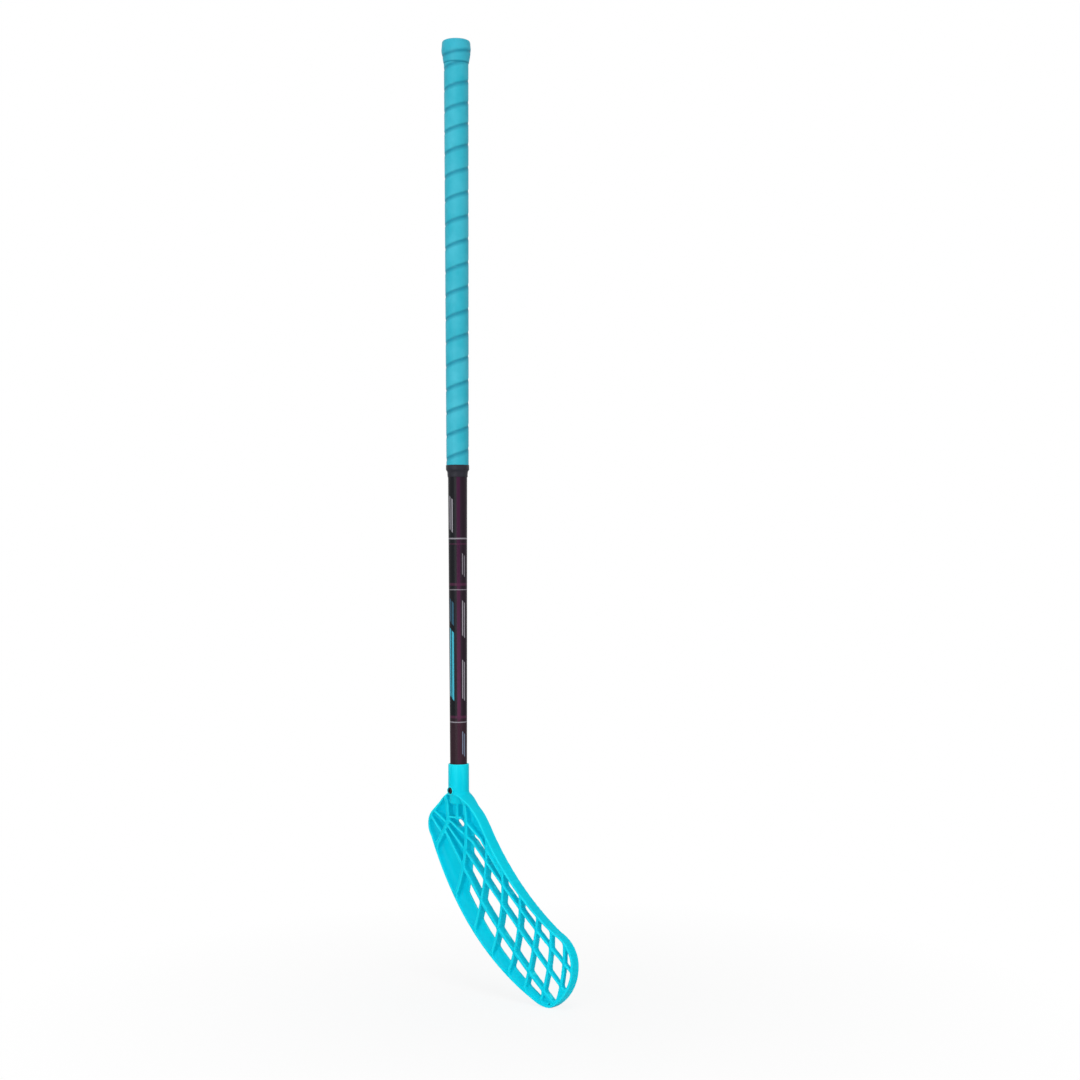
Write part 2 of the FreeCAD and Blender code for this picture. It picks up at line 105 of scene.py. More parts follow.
class Shade:
    """A socket of a material's nodes: sums and products add Math nodes, and add() makes any other node."""

    def __init__(self, tree, socket=None):
        self.tree = tree
        self.socket = socket

    def add(self, kind, settings, inputs, output=0):
        node = self.tree.nodes.new(kind)
        for name, value in settings.items():
            setattr(node, name, value)
        for name, value in inputs.items():
            if isinstance(value, Shade):
                self.tree.links.new(value.socket, node.inputs[name])
            else:
                node.inputs[name].default_value = value
        return Shade(self.tree, node.outputs[output])

    def maths(self, operation, *values, clamp=False):
        settings = {"operation": operation, "use_clamp": clamp}
        return self.add("ShaderNodeMath", settings, dict(enumerate(values)))

    def mixed(self, share, first, second):
        """A colour between two colours."""
        first, second = [colour if isinstance(colour, Shade) else (*colour, 1) for colour in (first, second)]
        return self.add("ShaderNodeMix", {"data_type": "RGBA"}, {0: share, 6: first, 7: second}, 2)

    def noise(self, scale, detail=3.0, place=None):
        """A grain of a number of grains to the metre."""
        place = place or self.place()
        return self.add("ShaderNodeTexNoise", {}, {"Vector": place, "Scale": scale, "Detail": detail})

    def place(self):
        """The place on the piece, in metres in the stick's frame."""
        return self.add("ShaderNodeTexCoord", {}, {}, "Object")

    def stretched(self, factors):
        return self.add("ShaderNodeVectorMath", {"operation": "MULTIPLY"}, {0: self, 1: factors})

    def parts(self):
        return [self.add("ShaderNodeSeparateXYZ", {}, {0: self}, axis) for axis in range(3)]

    def over(self, low, blur):
        """A mask that goes from 0 to 1 as the value passes low, over a length of blur."""
        return self.maths("MULTIPLY_ADD", self, 1 / blur, 0.5 - low / blur, clamp=True)

    def within(self, low, high, blur):
        return self.over(low, blur) * (1 - self.over(high, blur))

    def bumps(self, distance, strength=1.0):
        return self.add("ShaderNodeBump", {}, {"Height": self, "Distance": distance, "Strength": strength})

    def __add__(self, other):
        return self.maths("ADD", self, other)

    def __sub__(self, other):
        return self.maths("SUBTRACT", self, other)

    def __rsub__(self, other):
        return self.maths("SUBTRACT", other, self)

    def __mul__(self, other):
        return self.maths("MULTIPLY", self, other)


def new_finish(name):
    material = bpy.data.materials.new(name)
    material.use_nodes = True
    return material, Shade(material.node_tree)


def dressed(piece, material, body, slot, **sockets):
    """Give a piece its finish and its body; the slot is not used. Socket names have _ for a space."""
    shader = material.node_tree.nodes["Principled BSDF"]
    for name, value in sockets.items():
        socket = shader.inputs[name.replace("_", " ")]
        if isinstance(value, Shade):
            material.node_tree.links.new(value.socket, socket)
        else:
            socket.default_value = value
    piece.data.materials.clear()
    piece.data.materials.append(material)
    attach(piece, body)


shaft_rows = np.linspace(shaft_foot.z, shaft_head.z, shaft_row_count)
shaft_rows[0], shaft_rows[-1] = shaft_foot.z + shaft_edge, shaft_head.z - shaft_edge
shaft_outside = [(shaft_radius(height), height) for height in shaft_rows]
shaft_outside = [
    (shaft_radii[0] - shaft_edge, shaft_foot.z), *shaft_outside, (shaft_radii[2] - shaft_edge, shaft_head.z)
]
shaft_inside = [(shaft_radii[2] - shaft_wall, shaft_head.z), (shaft_radii[0] - shaft_wall, shaft_foot.z)]
shaft = placed("shaft", skin("shaft", turned(shaft_outside + shaft_inside)))
hole_bearings = np.arange(hole_sides) * 2 * math.pi / hole_sides
hole_round = [
    (screw_hole_radius * math.cos(turn), screw_hole_radius * math.sin(turn)) for turn in hole_bearings
]
hole_rows = [
    [(aside, depth, screw_height + up) for aside, up in hole_round] for depth in (-2 * shaft_radii[0], 0.0)
]
hole_mesh = skin("hole_cutter", np.array(hole_rows), close_rows=False, capped=True)
hole_cutter = placed("hole_cutter", hole_mesh)
hole_cut = shaft.modifiers.new("hole", "BOOLEAN")
hole_cut.object = hole_cutter
bpy.context.view_layer.update()
shaft.data = bpy.data.meshes.new_from_object(shaft.evaluated_get(bpy.context.evaluated_depsgraph_get()))
shaft.modifiers.clear()
bpy.data.objects.remove(hole_cutter)

lacquer, paint = new_finish("lacquered_shaft")
black = (0.0060, 0.0065, 0.009)
plum_shade = (0.015, 0.007, 0.014)
plum = (0.046, 0.008, 0.034)
bright_plum = (0.094, 0.020, 0.058)
low_plum = (0.034, 0.013, 0.021)
turquoise = (0.06, 0.42, 0.56)
deep_teal = (0.030, 0.095, 0.150)
pale = (0.42, 0.40, 0.45)
slate = (0.24, 0.30, 0.42)
# Bearings are in degrees from the shaft's face, positive to the right; heights are in millimetres.
x, y, height = paint.place().parts()
height = height * (1 / mm)
around = paint.maths("ARCTAN2", x + y, x - y) * math.degrees(1)
filament = paint.noise(900.0, 2.0, paint.place().stretched((1.0, 1.0, 0.05)))
smudge = paint.noise(45.0)
face = paint.mixed(around.within(8, 100, 20), black, plum_shade)
stripe_colour = paint.mixed(1 - height.over(-420, 150), plum, bright_plum)
stripe = around.within(-5, 18, 7)
face = paint.mixed(stripe, face, stripe_colour)
face = paint.mixed((1 - height.over(-537, 8)) * 0.75, face, low_plum)
end_slope, end_blur = 0.16, 1
sloped_height = height + around * end_slope
left_lines = around.within(-64, -50, 4) + around.within(-42, -26, 4)
right_lines = around.within(29, 36, 3) + around.within(44, 51, 3)
upper_lines = around.within(-56, -48, 3) + around.within(-38, -30, 3)
line_runs = (
    (left_lines, -520, -442, 1.0, turquoise),
    (left_lines, -434, -408, 1.0, deep_teal),
    (right_lines, -436, -396, 0.75, pale),
    (right_lines, -508, -464, 0.75, pale),
    (right_lines, -366, -342, 0.5, pale),
    (right_lines, -572, -546, 0.8, slate),
    (upper_lines, -328, -290, 0.8, pale),
)
for lines, low, high, share, colour in line_runs:
    face = paint.mixed(lines * sloped_height.within(low, high, end_blur) * share, face, colour)
rings = (
    (-336.8, -335.6, 0.5, 0.55, bright_plum),
    (-384, -381, 0.8, 0.55, bright_plum),
    (-536, -533, 0.8, 0.55, bright_plum),
    (-330.8, -329.2, 0.4, 0.6, pale),
    (-389, -388.2, 0.4, 0.6, pale),
    (-541, -539.8, 0.4, 0.6, pale),
)
for low, high, blur, share, colour in rings:
    face = paint.mixed(height.within(low, high, blur) * share, face, colour)
dressed(
    shaft, lacquer, "stick", "shaft",
    Base_Color=paint.mixed(filament * 0.008 + smudge * 0.004, face, pale),
    Roughness=smudge * 0.14 + 0.26,
    Specular_IOR_Level=0.07,
    Coat_Weight=0.04,
    Coat_Roughness=0.16,
    Normal=filament.bumps(0.02 * mm, 0.3),
)
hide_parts("shaft_tube")

# End plug: a moulded plug pushed into the tube's upper end, with a spigot inside and a flared head outside.
# The ribbon is drawn over the head and leaves only the dished disc bare.
plug_foot, plug_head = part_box("end_plug")
plug_gap = 0.1 * mm
spigot_wall = 2.0 * mm
disc_radius = 11.38 * mm
head_radius = 15.2 * mm
head_neck_radius = 12.74 * mm
head_neck = 215.5 * mm
tube_end = shaft_head.z
plug_profile = [
    (0.4 * mm, plug_head.z - 0.9 * mm),
    (4.6 * mm, plug_head.z - 0.9 * mm),
    (5.2 * mm, plug_head.z - 0.75 * mm),
    (5.6 * mm, plug_head.z - 0.35 * mm),
    (6.4 * mm, plug_head.z - 0.3 * mm),
    (9.6 * mm, plug_head.z - 0.3 * mm),
    (10.2 * mm, plug_head.z),
    (disc_radius - 0.3 * mm, plug_head.z),
    (disc_radius, plug_head.z - 0.3 * mm),
    (disc_radius, plug_head.z - 1.2 * mm),
    (13.2 * mm, plug_head.z - 1.2 * mm),
    (14.4 * mm, plug_head.z - 2.4 * mm),
    (14.7 * mm, plug_head.z - 4.8 * mm),
    (head_radius, plug_head.z - 9.3 * mm),
    (14.6 * mm, plug_head.z - 17 * mm),
    (head_neck_radius, head_neck),
    (shaft_radius(head_neck) + plug_gap, head_neck),
    (shaft_radii[2] + plug_gap, tube_end),
    (shaft_radii[2] - shaft_wall - plug_gap, tube_end),
    (shaft_radius(plug_foot.z) - shaft_wall - plug_gap, plug_foot.z + 0.8 * mm),
    (shaft_radius(plug_foot.z) - shaft_wall - plug_gap - 0.6 * mm, plug_foot.z),
    (shaft_radius(plug_foot.z) - shaft_wall - plug_gap - spigot_wall, plug_foot.z),
    (shaft_radii[2] - shaft_wall - plug_gap - spigot_wall, tube_end - 0.5 * mm),
    (shaft_radii[2] - shaft_wall - plug_gap - spigot_wall - 0.5 * mm, tube_end),
    (0.4 * mm, tube_end),
]
plug = placed("plug", skin("plug", turned(plug_profile), close_rows=False, capped=True))
moulded_black, paint = new_finish("moulded_black")
plug_black, plug_grey = (0.018, 0.019, 0.022), (0.045, 0.046, 0.050)
pitting = paint.noise(2600.0, 2.0)
haze = paint.noise(160.0)
dressed(
    plug, moulded_black, "stick", "plug",
    Base_Color=paint.mixed(haze * 0.5, plug_black, plug_grey),
    Roughness=haze * 0.2 + 0.45,
    Normal=pitting.bumps(0.04 * mm, 0.5),
)
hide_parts("end_plug")

# Grip: one long polyurethane ribbon with thinned edges, glued on and wound down the shaft from the knob.
# Its first turn goes level round the plug's head; each next one rises to the right, butted on the one above.
butt = grip_head.z
grip_end = grip_foot.z
ribbon_thickness = 1.6 * mm
ribbon_clearance = 0.15 * mm
slit = 0.06 * mm
bevel_width = 3.0 * mm
bevel_depth = 0.45 * mm
seam_bearing = math.radians(315)
seam_turns = (0.0, 3.0, 13.0, 16.0)
seam_drops = (52.0 * mm, 125.0 * mm, 395.9 * mm, 475.2 * mm)
first_turn, last_turn = -2.2, 17.6
stray, slow_sway, quick_sway = 0.12 * mm, 5.3, 13.7
steps_each_turn = 72
neck = butt - 26.5 * mm


def seam(turn):
    """Height of the ribbon's even upper edge after a number of turns; the pitch runs on past both ends."""
    start_pitch = (seam_drops[1] - seam_drops[0]) / (seam_turns[1] - seam_turns[0])
    end_pitch = (seam_drops[3] - seam_drops[2]) / (seam_turns[3] - seam_turns[2])
    drop = np.interp(turn, seam_turns, seam_drops)
    drop = drop + np.minimum(turn, 0) * start_pitch + np.maximum(turn - seam_turns[3], 0) * end_pitch
    return butt - drop


def waver(turn):
    """How far the hand-wound edge strays from the even one."""
    return stray * (np.sin(turn * slow_sway) + np.sin(turn * quick_sway + 1.0))


turns = np.linspace(first_turn, last_turn, int((last_turn - first_turn) * steps_each_turn))
bearings = seam_bearing - 2 * math.pi * turns
edge_steps = np.array((0.0, 0.12, 0.3, 0.5, 0.7, 0.88, 1.0))
upper = seam(turns) + waver(turns) - slit / 2
lower = seam(turns + 1) + waver(turns + 1) + slit / 2
offsets = np.concatenate([edge_steps * bevel_width, [5 * mm, 9 * mm]])
from_above = upper[:, None] - offsets
from_below = lower[:, None] + offsets[::-1]
outer_heights = np.concatenate([from_above, from_below], 1)
edge_distance = np.concatenate([offsets, offsets[::-1]])
bevel = 0.5 + 0.5 * np.cos(math.pi * np.clip(edge_distance / bevel_width, 0, 1))
outer_rise = ribbon_thickness - bevel_depth * bevel
inner_heights = np.stack([lower, upper], 1)
heights = np.concatenate([outer_heights, inner_heights], 1)
rise = np.concatenate([np.tile(outer_rise, (len(turns), 1)), np.zeros_like(inner_heights)], 1)
reach = shaft_radius(heights) + ribbon_clearance + rise
ribbon_points = np.stack([reach * np.cos(bearings)[:, None], reach * np.sin(bearings)[:, None], heights], -1)
ribbon_mesh = skin("ribbon", ribbon_points, close_rows=False, capped=True)
# The across value darkens the blue near each seam, over up to 5 mm below it and 2.4 mm above it: painted
# shade of the groove and the step at the seam.
seam_shade_widths = np.repeat((5.0 * mm, 2.4 * mm), len(offsets))
across = np.concatenate([edge_distance / seam_shade_widths, [0.0, 0.0]])
across_values = np.tile(np.clip(across, 0, 1), len(turns)).astype(np.float32)
ribbon_mesh.attributes.new("across", "FLOAT", "POINT").data.foreach_set("value", across_values)

knob_profile = [
    (11.5, 0.5), (11.7, 0.12), (12.2, 0.0), (13.4, 0.0), (14.6, 0.22), (15.5, 0.8), (16.1, 1.8),
    (16.36, 3.3), (16.45, 5.3), (16.6, 7.0), (16.85, 8.8), (16.97, 10.5), (16.9, 12.4), (16.62, 14.6),
    (16.2, 17.0), (15.7, 19.6), (15.2, 22.2), (14.85, 24.2), (14.62, 25.5), (14.3, 26.2), (13.9, 26.45),
    (13.0, 26.5), (12.95, 26.0),
]
knob_inside = [
    (13.1, 25.0), (14.3, 19.0), (15.1, 13.0), (15.2, 9.0), (14.75, 5.5), (14.4, 3.4), (13.4, 1.75),
    (12.0, 1.62), (11.5, 1.3),
]
knob_corners = np.array(knob_profile + knob_inside + knob_profile[:1])[::-1]
knob_run = np.append(0, np.cumsum(np.hypot(*np.diff(knob_corners, axis=0).T)))
knob_row_count, knob_sides = 150, 120
knob_steps = np.linspace(0, knob_run[-1], knob_row_count)[:-1]
knob_radii = np.interp(knob_steps, knob_run, knob_corners[:, 0]) * mm
knob_heights = butt - np.interp(knob_steps, knob_run, knob_corners[:, 1]) * mm
knob_points = turned(np.stack([knob_radii, knob_heights], -1), knob_sides)
knob_bearings = np.arctan2(knob_points[..., 1], knob_points[..., 0])
# The fold is a real dent; the darker blue it is given further down is painted shade.
fold_drop, fold_swing, fold_width, fold_bearing = 15.5 * mm, 2.6 * mm, 2.0 * mm, math.radians(-45)
fold_inner_radius, fold_dent, fold_shade_strength = 14.9 * mm, 0.022, 0.85
fold_centre = butt - fold_drop + fold_swing * np.sin(knob_bearings - fold_bearing)
fold = np.exp(-((knob_points[..., 2] - fold_centre) / fold_width) ** 2)
fold *= np.hypot(knob_points[..., 0], knob_points[..., 1]) > fold_inner_radius
knob_points[..., :2] *= (1 - fold_dent * fold)[..., None]
knob_mesh = skin("knob", knob_points)
knob_drops = (butt - knob_points[..., 2]) / mm
# The knob's hem, its top edge and its fold get low across values and so take the seam's darker blue: painted
# shade in the creases and on the top edge that faces away from the lamps.
hem_drop, hem_shade_width, crown_shade_width, crown_shade = 26.4, 2.2, 1.2, 0.2
from_hem, from_crown = (hem_drop - knob_drops) / hem_shade_width, crown_shade + knob_drops / crown_shade_width
knob_ends = np.clip(np.minimum(from_hem, from_crown), 0, 1)
knob_values = np.minimum(1 - fold_shade_strength * fold, knob_ends).astype(np.float32).ravel()
knob_mesh.attributes.new("across", "FLOAT", "POINT").data.foreach_set("value", knob_values)

work = bmesh.new()
work.from_mesh(ribbon_mesh)
for level, side in ((neck, 1), (grip_end, -1)):
    everything = work.verts[:] + work.edges[:] + work.faces[:]
    cut = bmesh.ops.bisect_plane(
        work, geom=everything, plane_co=(0, 0, level), plane_no=(0, 0, side), clear_outer=True
    )
    rim = [item for item in cut["geom_cut"] if isinstance(item, bmesh.types.BMEdge)]
    bmesh.ops.contextual_create(work, geom=rim)
work.from_mesh(knob_mesh)
work.to_mesh(ribbon_mesh)
work.free()
grip = placed("grip", ribbon_mesh, crease=50)

polyurethane, paint = new_finish("wound_polyurethane")
face_blue = (0.012, 0.395, 0.515)
light_blue = (0.046, 0.470, 0.600)
seam_shade_blue = (0.000, 0.235, 0.345)
knob_blue = (0.022, 0.400, 0.535)
nearness = paint.add("ShaderNodeAttribute", {"attribute_name": "across"}, {}, "Fac")
patches = paint.noise(38.0, 4.0)
leather = paint.add("ShaderNodeTexVoronoi", {}, {"Vector": paint.place(), "Scale": 1500.0})
streaks = paint.noise(420.0, 2.0, paint.place().stretched((1.0, 1.0, 4.0)))
skin_colour = paint.mixed(patches.over(0.5, 0.35), face_blue, light_blue)
# The knob above the neck and faint streaks are mixed towards a slightly different blue.
knob_and_streak_tint = paint.place().parts()[2].over(neck, 2 * mm) * 0.6 + streaks.over(0.62, 0.4) * 0.2
skin_colour = paint.mixed(knob_and_streak_tint, skin_colour, knob_blue)
# Where across is low, at the seams and at the knob's fold, hem and top edge, the blue darkens: painted
# shade.
seam_shade_mask = 1 - nearness.over(0.6, 0.8)
dressed(
    grip, polyurethane, "stick", "grip",
    Base_Color=paint.mixed(seam_shade_mask * 0.9, skin_colour, seam_shade_blue),
    Roughness=patches * 0.18 + 0.46,
    Specular_IOR_Level=0.34,
    Normal=(leather * 0.6 + streaks).bumps(0.07 * mm, 0.35),
)
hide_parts("grip_wrap")

# Finishing tape: a short black adhesive band, wound twice by hand over the ribbon's end and the bare tube.
# It is stretched tight, so it follows the step under it and has small puckers.
tape_foot, tape_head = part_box("finishing_tape")
tape_thickness = 0.45 * mm
over_ribbon = ribbon_clearance + ribbon_thickness + 0.1 * mm
on_tube = 0.1 * mm
tape_outside = [
    (tape_head.z - 0.05 * mm, over_ribbon + 0.05 * mm), (tape_head.z, over_ribbon + 0.25 * mm),
    (tape_head.z - 0.12 * mm, over_ribbon + tape_thickness),
    (grip_end + 3.6 * mm, over_ribbon + tape_thickness),
    (grip_end + 2.0 * mm, over_ribbon + tape_thickness),
    (grip_end + 0.6 * mm, over_ribbon + tape_thickness - 0.02 * mm),
    (grip_end - 0.4 * mm, over_ribbon + 0.25 * mm), (grip_end - 1.1 * mm, over_ribbon - 0.35 * mm),
    (grip_end - 1.9 * mm, on_tube + 0.95 * mm), (grip_end - 2.9 * mm, on_tube + 0.72 * mm),
    (grip_end - 4.2 * mm, on_tube + 0.6 * mm), (grip_end - 5.6 * mm, on_tube + 0.52 * mm),
    (grip_end - 7.0 * mm, on_tube + tape_thickness), (tape_foot.z + 0.15 * mm, on_tube + tape_thickness),
    (tape_foot.z, on_tube + 0.3 * mm), (tape_foot.z + 0.05 * mm, on_tube),
]
tape_inside = [
    (grip_end - 0.15 * mm, on_tube),
    (grip_end - 0.12 * mm, over_ribbon),
    (tape_head.z - 0.4 * mm, over_ribbon),
]
tape_profile = [(shaft_radius(level) + out, level) for level, out in tape_outside + tape_inside]
tape_sides = 144
pucker_scale, crease_scale, crease_share = 260.0, 520.0, 0.6
pucker_rise, pucker_limit = 0.011, 0.35
tape_points = turned(tape_profile[::-1], tape_sides)
for row in tape_points[len(tape_inside):]:
    for point in row:
        crease = noise.noise(Vector((point[0], point[1], point[2] * 3)) * crease_scale)
        pucker = noise.noise(Vector(point) * pucker_scale) + crease_share * crease
        point[:2] *= 1 + pucker_rise * min(pucker, pucker_limit)
tape = placed("tape", skin("tape", tape_points), crease=60)
tape_film, paint = new_finish("adhesive_tape")
film_black, film_grey = (0.007, 0.007, 0.011), (0.030, 0.029, 0.046)
ribs = paint.noise(700.0, 2.0, paint.place().stretched((1.0, 1.0, 5.0)))
dust = paint.noise(300.0)
dressed(
    tape, tape_film, "stick", "tape",
    Base_Color=paint.mixed(dust * 0.6, film_black, film_grey),
    Roughness=dust * 0.25 + 0.38,
    Specular_IOR_Level=0.22,
    Normal=ribs.bumps(0.10 * mm, 0.5),
)
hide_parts("finishing_tape")

# Blade: one polyethylene injection moulding, with a socket for the shaft, a perimeter wall round an open
# lattice of fins, and a closed scooped web along the heel and base. It is drafted and filleted throughout,
# as mouldings are. Plan sizes are in millimetres, as x + drop j from the socket's mouth.
blade_foot, blade_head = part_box("blade")
mouth = blade_head.z
grain_size = 0.62
wall_thickness = 2.4
wall_draft = 0.05
heel_half_depth = 7.5
front_hook, back_hook, fin_hook = 720.0, 900.0, 1000.0
fin_back_level = 3.0
floor_thickness = 2.2
web_widths = (7.0, 14.5, 18.0)
through_drop = 46.0
scoop_radius, least_scoop_floor = 9.0, 1.6
lip_rounding, fin_rounding, back_rounding, fin_draft = 0.75, 1.1, 0.5, 0.03
corner_fillet = 1.8
rim_fillets = (8.0, 2.4)
least_cell_radius, cell_growth_steps = 2.0, 90
floor_fillet = 2.4
low_fin_half, heel_fin_half, toe_rib_half, neck_rib_half, neck_arch_half = 2.0, 2.6, 1.4, 2.2, 1.2
steep_halves, cross_half = (2.4, 1.7, 1.7, 1.7, 1.7, 1.7, 1.7), 1.4
socket_radius, mouth_radius, socket_end_radius = 12.0, 11.93, 10.6
bore_radius, socket_floor, socket_end = 9.8, 43.5, 46.5
neck_drop, shoulder_drop = 33.0, 46.0
taper_drops = (0, neck_drop, 34.6, 36.6)
taper_radii = (mouth_radius, socket_radius, socket_radius, socket_end_radius)
mouth_rounding, socket_end_rounding = 0.6, 4.0
shoulder_gap, shoulder_slope, shoulder_run, shoulder_blend = 0.4, 1.2, 1.56, 2.0
screw_drop = (mouth - screw_height) / mm
screw_head_height = 2.3
boss_radius, seat_radius, seat_depth = 4.8, 3.8, 2.0
boss_fillet, seat_rounding = 1.6, 0.35
seat_level = -screw_foot.y / mm - screw_head_height
boss_face = seat_level + seat_depth
neck_left, neck_right = -socket_radius + neck_drop * 1j, socket_radius + neck_drop * 1j
heel_top, heel_round = -36.5 + 55.3j, -45.2 + 70.5j
base_edge = (122 + 254j, 43 + 200j, -40 + 87j)
top_edge = (44 + 67j, 85 + 121.5j, 146 + 175j)
top_shoulder = (28.5 + 48.6j, 36.5 + 56.6j)
toe_tip, toe_bottom = 168.3 + 211j, 139 + 257.5j
steep_fins = (
    (11.8 + 36j, 16.2 + 85j, -3 + 153j),
    (49.2 + 78j, 45 + 132j, 28 + 190j),
    (72.4 + 108j, 70.5 + 160j, 56 + 210j),
    (97.8 + 136j, 94 + 184j, 79.8 + 229j),
    (121.9 + 158j, 114.3 + 202j, 101.4 + 247j),
    (139.3 + 172j, 137.1 + 203j, 124.3 + 254j),
    (155.9 + 186j, 154.6 + 213j, 145 + 254j),
)
cross_fins = (
    (18 + 66.6j, 41 + 82.3j, 50 + 94j, 72.8 + 121j),
    (-11 + 66j, 28 + 87j, 116 + 171j, 168 + 218.2j),
    (-13 + 73j, 20 + 101j, 66 + 145.7j, 164 + 244.7j),
    (-42 + 55j, -13 + 70.5j),
    (-47 + 60j, -21 + 84j),
    (-12 + 63j, 10 + 62.2j),
)
low_fin = (-17 + 81j, 30.6 + 139.6j, 45.5 + 158.2j, 68.5 + 182.6j, 106.6 + 219.5j, 148 + 259j)
first_web_edge = (22.5 + 36j, 23.8 + 85j, 13.5 + 153j)
heel_fin = (-16 + 36j, -13.5 + 66j, -40 + 105j)
toe_rib = (163.5 + 228j, 157.5 + 239.5j, 149.5 + 249.5j)
neck_rib = (1.8 + 44j, 2 + 61.5j)
neck_arch = (2.5 + 34j, 7 + 35.4j, 12.6 + 38.6j, 16.9 + 42.2j, 19.4 + 45.4j)
heel_slot, slot_half, slot_rounding = (0.3 + 65.2j, 4.9 + 69.06j), 2.6, 0.8
toe_pocket, toe_pocket_radius = 132.5 + 249.5j, 5.5


def circle_through(start, middle, end):
    ratio = (end - start) / (middle - start)
    centre = start + (middle - start) * (ratio - abs(ratio) ** 2) / (2j * ratio.imag)
    return centre, abs(start - centre)


def arc(start, middle, end, count=24):
    """Points (x + drop j) of the arc through three points."""
    centre, _ = circle_through(start, middle, end)
    swings = [(point - centre) / (start - centre) for point in (middle, end)]
    half_turn, turn = np.angle(swings) % (2 * math.pi)
    turn = turn - 2 * math.pi if half_turn > turn else turn
    return centre + (start - centre) * np.exp(1j * turn * np.linspace(0, 1, count))


xs = np.arange(-49.0, 172.0, grain_size)
drops = np.arange(-2.5, 261.0, grain_size)
depths = np.arange(-15.0, 25.5, grain_size)
plan_x, plan_drop = np.meshgrid(xs, drops, indexing="ij")
plan = plan_x + 1j * plan_drop
far_away = 1e3


def distance_to(points):
    """Distance in plan to a run of points."""
    nearest = np.full(plan.shape, far_away)
    for start, end in zip(points[:-1], points[1:]):
        run = end - start
        share = np.clip(((plan - start) * run.conjugate()).real / abs(run) ** 2, 0, 1)
        nearest = np.minimum(nearest, np.abs(plan - start - share * run))
    return nearest


def inside_of(points):
    inside = np.zeros(plan.shape, bool)
    for start, end in zip(points, np.roll(points, -1)):
        if start.imag != end.imag:
            crossing = start.real + (plan_drop - start.imag) * (end - start).real / (end - start).imag
            inside ^= ((start.imag > plan_drop) != (end.imag > plan_drop)) & (plan_x < crossing)
    return inside


def joined(first, second, fillet):
    """Union of two distance fields with a fillet where they meet."""
    near = np.maximum(fillet - np.abs(first - second), 0) / fillet
    return np.minimum(first, second) - near * near * fillet / 4


def crossed(first, second, rounding):
    """Intersection of two distance fields with a rounded edge."""
    first, second = first + rounding, second + rounding
    outside = np.hypot(np.maximum(first, 0), np.maximum(second, 0))
    return np.minimum(np.maximum(first, second), 0) + outside - rounding


def cut_by(first, second, rounding):
    return -joined(-first, second, rounding)


outline = np.concatenate([
    [neck_left, neck_right],
    arc(top_shoulder[0], top_shoulder[1], top_edge[0]),
    arc(*top_edge),
    arc(top_edge[2], 163.8 + 191.3j, toe_tip),
    arc(toe_tip, 160.5 + 237.5j, toe_bottom),
    arc(toe_bottom, 131 + 257j, base_edge[0], 8),
    arc(*base_edge, 48),
    arc(base_edge[2], heel_round, heel_top),
])
outline = outline[np.abs(outline - np.roll(outline, 1)) > 1e-6]
edge_distance = distance_to(np.append(outline, outline[0]))
edge_distance = np.where(inside_of(outline), -edge_distance, edge_distance)
wall_plan = np.abs(edge_distance + wall_thickness / 2) - wall_thickness / 2
fin_plan = np.full(plan.shape, far_away)
for points, half in zip(steep_fins, steep_halves):
    fin_plan = joined(fin_plan, distance_to(arc(*points) + half) - half, corner_fillet)
strips = [(points, cross_half) for points in cross_fins]
strips += [(low_fin, low_fin_half), (heel_fin, heel_fin_half), (toe_rib, toe_rib_half)]
strips += [(neck_rib, neck_rib_half), (neck_arch, neck_arch_half)]
for points, half in strips:
    run = points[-1] - points[0]
    above = -1j * run / abs(run) * half
    fin_plan = joined(fin_plan, distance_to(np.array(points) + above) - half, corner_fillet)
base_centre, base_radius = circle_through(*base_edge)
rim_fillet = np.interp(base_radius - np.abs(plan - base_centre), (0, 25), rim_fillets)
lattice_plan = np.maximum(joined(wall_plan, fin_plan, rim_fillet), edge_distance)
# Cells with no room for a circle of the least radius are filled: a mould has no cores that thin.
open_cells = lattice_plan > least_cell_radius
for _ in range(cell_growth_steps):
    grown = open_cells.copy()
    grown[1:] |= open_cells[:-1]
    grown[:-1] |= open_cells[1:]
    grown[:, 1:] |= open_cells[:, :-1]
    grown[:, :-1] |= open_cells[:, 1:]
    open_cells = grown & (lattice_plan > 0)
lattice_plan = np.where(open_cells | (edge_distance > 0), lattice_plan, np.minimum(lattice_plan, -0.3))
web_edge = [
    base_centre + (point - base_centre) * (1 - width / base_radius)
    for point, width in zip(base_edge, web_widths)
]
web_centre, web_radius = circle_through(*web_edge)
side_centre, side_radius = circle_through(*first_web_edge)
closed_plan = np.minimum(np.abs(plan - side_centre) - side_radius, web_radius - np.abs(plan - web_centre))
closed_plan = np.minimum(closed_plan, plan_drop - through_drop)
first_fin = np.array(cross_fins[0])
below_first_fin = (plan_drop - np.interp(plan_x, first_fin.real, first_fin.imag)) * 0.7
narrow_cells = np.maximum(below_first_fin, plan_x - first_fin[-1].real)
closed_plan = np.minimum(closed_plan, narrow_cells)
closed_plan = np.minimum(closed_plan, np.abs(plan - toe_pocket) - toe_pocket_radius)
closed_plan = np.maximum(closed_plan, edge_distance + wall_thickness / 2)
hook = np.maximum(plan_x, 0.0) ** 2
front = front_hook - np.sqrt(front_hook ** 2 - hook) - heel_half_depth
back = back_hook - np.sqrt(back_hook ** 2 - hook) + heel_half_depth
fin_back = fin_hook - np.sqrt(fin_hook ** 2 - hook) + fin_back_level
up_shoulder = np.clip((shoulder_drop - plan_drop) / (shoulder_drop - neck_drop), 0, 1)
swell = (socket_radius - heel_half_depth) * up_shoulder
from_wall = np.clip(-edge_distance - wall_thickness, 0, scoop_radius)
scoop = scoop_radius - np.sqrt(scoop_radius ** 2 - (scoop_radius - from_wall) ** 2)
floor = fin_back - floor_thickness
